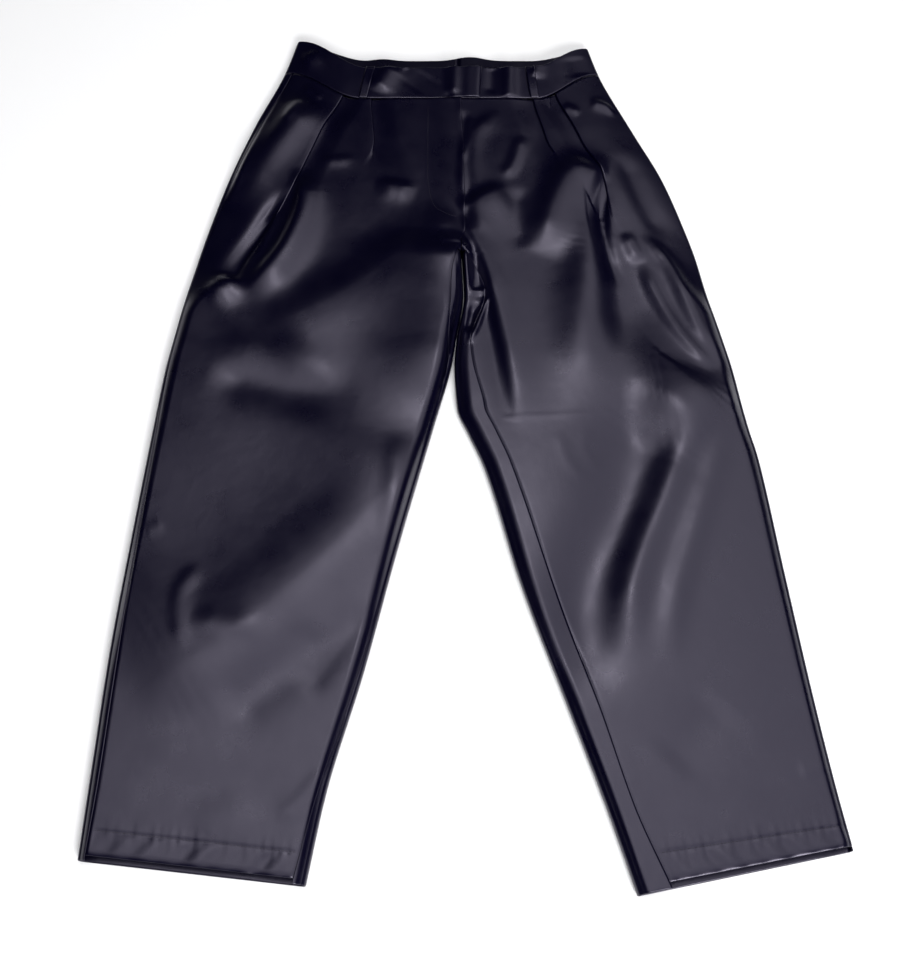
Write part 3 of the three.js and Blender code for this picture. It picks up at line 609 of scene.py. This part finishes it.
def beltLoop(name, rows, side):
    cut = sectionsAt(tableOf(sectionColumns, rows), np.linspace(-garment["bandHeight"], -0.6, 40))
    share = (cut["down"] + garment["bandHeight"]) / (garment["bandHeight"] - 0.6)
    s = band["loopPlace"] * cut["width"] + np.linspace(-0.5, 0.5, 13)[None] * band["loopWidth"]
    grid = bandSurface(cut, s, False)
    wall = garment["loopLeather"]
    grid[..., 2] += (garment["bandLeather"] + wall) / 2 + garment["seamGap"] + band["loopSlack"] * np.sin(np.pi * share)
    across = np.minimum(np.arange(13), 12 - np.arange(13))[None] * band["loopWidth"] / 12
    edge = roundEdge(across, 1.2) * np.ones_like(s)
    return makeShell(name, grid, side, wall / 2 * edge, wall / 2 * edge, leather)


pieces["waistbandRight"] = waistband("waistbandRight", rightRows, 1, True)
pieces["waistbandLeft"] = waistband("waistbandLeft", leftRows, -1, False)
pieces["beltLoopRight"] = beltLoop("beltLoopRight", rightRows, 1)
pieces["beltLoopLeft"] = beltLoop("beltLoopLeft", leftRows, -1)
print("waistband and loops made")

thread = bpy.data.materials.new("blackThread")
thread.use_nodes = True
thread.node_tree.nodes["Principled BSDF"].inputs["Base Color"].default_value = (0.012, 0.01, 0.02, 1)
thread.node_tree.nodes["Principled BSDF"].inputs["Roughness"].default_value = 0.6

sewing = {"stitch": 2.7, "step": 3.6, "thread": 0.26, "sides": 6}


# A row of thread stitches along a path in plan, laid on top of one piece
def sewnRow(name, path, owner):
    mesh = owner.data
    tree = BVHTree.FromPolygons([v.co for v in mesh.vertices], [tuple(f.vertices) for f in mesh.polygons])
    path = np.array(path, float)
    lengths = np.hypot(*np.diff(path, axis=0).T)
    ends = np.concatenate(([0], np.cumsum(lengths)))
    starts = np.arange(1.5, ends[-1] - sewing["stitch"], sewing["step"])

    def onTop(distance):
        x, y = np.interp(distance, ends, path[:, 0]), np.interp(distance, ends, path[:, 1]) - garment["middleY"]
        hit = tree.ray_cast(Vector((x, y, 80)) * metre, Vector((0, 0, -1)))[0]
        return None if hit is None else np.array(hit) / metre

    points, faces = [], []
    turn = np.linspace(0, 2 * np.pi, sewing["sides"], endpoint=False)
    for start in starts:
        a, b = onTop(start), onTop(start + sewing["stitch"])
        if a is None or b is None or abs(a[2] - b[2]) > 1.5:
            continue
        along = (b - a) / np.linalg.norm(b - a)
        across = np.cross(along, (0, 0, 1))
        across /= np.linalg.norm(across)
        above = np.cross(across, along)
        first = len(points)
        for share, size in ((0, 0.35), (0.15, 1), (0.85, 1), (1, 0.35)):
            middle = a + (b - a) * share + above * (0.1 if 0 < share < 1 else -0.15)
            points += [middle + sewing["thread"] * size * (np.cos(t) * across + np.sin(t) * above) for t in turn]
        n = sewing["sides"]
        for ring in range(3):
            k = first + ring * n
            faces += [(k + i, k + (i + 1) % n, k + n + (i + 1) % n, k + n + i) for i in range(n)]
        faces += [tuple(first + i for i in reversed(range(n))), tuple(first + 3 * n + i for i in range(n))]
    row = bpy.data.meshes.new(name)
    row.from_pydata([tuple(q * metre) for q in points], [], faces)
    row.materials.append(thread)
    piece = bpy.data.objects.new(name, row)
    bpy.context.collection.objects.link(piece)
    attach(piece, "root")
    return piece


def hemPath(rows):  # along the hem's stitching, from the side seam to the inside seam
    cut = sectionsAt(tableOf(sectionColumns, rows), [garment["length"] - hemStitching["above"]])
    start, finish = cut["outStrip"] + 2.5, cut["width"] - np.maximum(0, cut["inStrip"]) - 2.5
    x, y = planOf(cut, mix(start, finish, np.linspace(0, 1, 60)[None]), 0)
    return np.stack([x[0], y[0]], -1)


def loopPath(rows, down):
    cut = sectionsAt(tableOf(sectionColumns, rows), [down])
    s = band["loopPlace"] * cut["width"] + np.array([[-4.6, 4.6]])
    x, y = planOf(cut, s, 0)
    return np.stack([x[0], y[0]], -1)


flyPath = smoothPath([(-42, 405), (-42, 340), (-41, 294), (-34, 263), (-20, 251), (-6, 247)], 10)
rowsSewn = {
    "hemStitchesRight": (hemPath(rightRows), "frontRight"),
    "hemStitchesLeft": (hemPath(leftRows), "frontLeft"),
    "flyStitches": (flyPath, "frontRight"),
}
for side, rows in (("Right", rightRows), ("Left", leftRows)):
    for end, down in (("Top", -garment["bandHeight"] + 3), ("Bottom", -3.5)):
        rowsSewn[f"loopStitches{end}{side}"] = (loopPath(rows, down), f"beltLoop{side}")
stitches = {name: sewnRow(name, path, pieces[owner]) for name, (path, owner) in rowsSewn.items()}
print("stitches sewn")

# Flat cut of each piece in metres: width, length and area, with its turnings, pleats and turned-up hem
cuts = {
    "backRight": (0.385, 0.985, 0.283),
    "backLeft": (0.365, 0.985, 0.276),
    "frontRight": (0.36, 0.945, 0.256),
    "frontLeft": (0.335, 0.945, 0.236),
    "waistbandRight": (0.471, 0.046, 0.0216),
    "waistbandLeft": (0.347, 0.046, 0.0159),
    "beltLoopRight": (0.0115, 0.046, 0.00052),
    "beltLoopLeft": (0.0115, 0.046, 0.00052),
}
for name, (wide, long, area) in cuts.items():
    side = "Right" if name.endswith("Right") else "Left"

cadNodes = {
    "backRight": "back_right",
    "backLeft": "back_left",
    "frontRight": "front_right",
    "frontLeft": "front_left",
    "waistbandRight": "waistband_right",
    "waistbandLeft": "waistband_left",
    "beltLoopRight": "belt_loop_right",
    "beltLoopLeft": "belt_loop_left",
}
for pieceName, node in cadNodes.items():
    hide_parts(node)

stageLook = {"floor": (0.86, 0.86, 0.87, 1), "world": 0.02}


def makeFloor():
    bpy.ops.mesh.primitive_plane_add(size=12, location=(0, 0, -0.0004))
    floor = bpy.context.object
    floor.name = "floor"
    paper = bpy.data.materials.new("paper")
    paper.use_nodes = True
    shader = paper.node_tree.nodes["Principled BSDF"]
    shader.inputs["Base Color"].default_value = stageLook["floor"]
    shader.inputs["Roughness"].default_value = 0.9
    floor.data.materials.append(paper)


def softLight(name, place, size, power, turn=0, aim=None):
    lamp = bpy.data.lights.new(name, "AREA")
    lamp.shape = "RECTANGLE"
    lamp.size, lamp.size_y = size
    lamp.energy = power
    light = bpy.data.objects.new(name, lamp)
    light.location = place
    light.rotation_euler = (0, 0, math.radians(turn))
    if aim:
        light.rotation_euler = (Vector(aim) - Vector(place)).to_track_quat("-Z", "Y").to_euler()
    bpy.context.collection.objects.link(light)


def makeCamera():
    cameraData = bpy.data.cameras.new("camera")
    cameraData.lens = 52.5
    cameraData.sensor_width = 36
    cameraData.clip_start = 0.05
    elevation, distance = math.radians(68), 1.51
    target = Vector((-0.0136, -0.0722, 0))
    towards = Vector((0, math.cos(elevation), -math.sin(elevation)))
    camera = bpy.data.objects.new("camera", cameraData)
    camera.location = target - towards * distance
    camera.rotation_euler = towards.to_track_quat("-Z", "Y").to_euler()
    bpy.context.collection.objects.link(camera)
    bpy.context.scene.camera = camera


makeFloor()
makeCamera()
softLight("skyLight", (0.6, 0.189, 2.2), (4.2, 2.6), 53, turn=42)
softLight("gapLight", (-0.01, 0.6, 2.17), (0.2, 0.5), 4.5)
softLight("kneeLight", (0.34, 0.16, 2.18), (0.5, 0.9), 1.1)
softLight("hemLight", (-0.05, -0.17, 2.18), (1.6, 0.3), 3.2)
softLight("frontLight", (0.9, -2.6, 1.7), (1.6, 0.9), 90, aim=(0.05, -0.1, 0))
world = bpy.data.worlds.new("studio")
world.use_nodes = True
world.node_tree.nodes["Background"].inputs["Color"].default_value = (0.95, 0.95, 1, 1)
world.node_tree.nodes["Background"].inputs["Strength"].default_value = stageLook["world"]
bpy.context.scene.world = world
bpy.context.scene.view_settings.view_transform = "Standard"
bpy.context.scene.view_settings.look = "Medium High Contrast"
print("stage set")
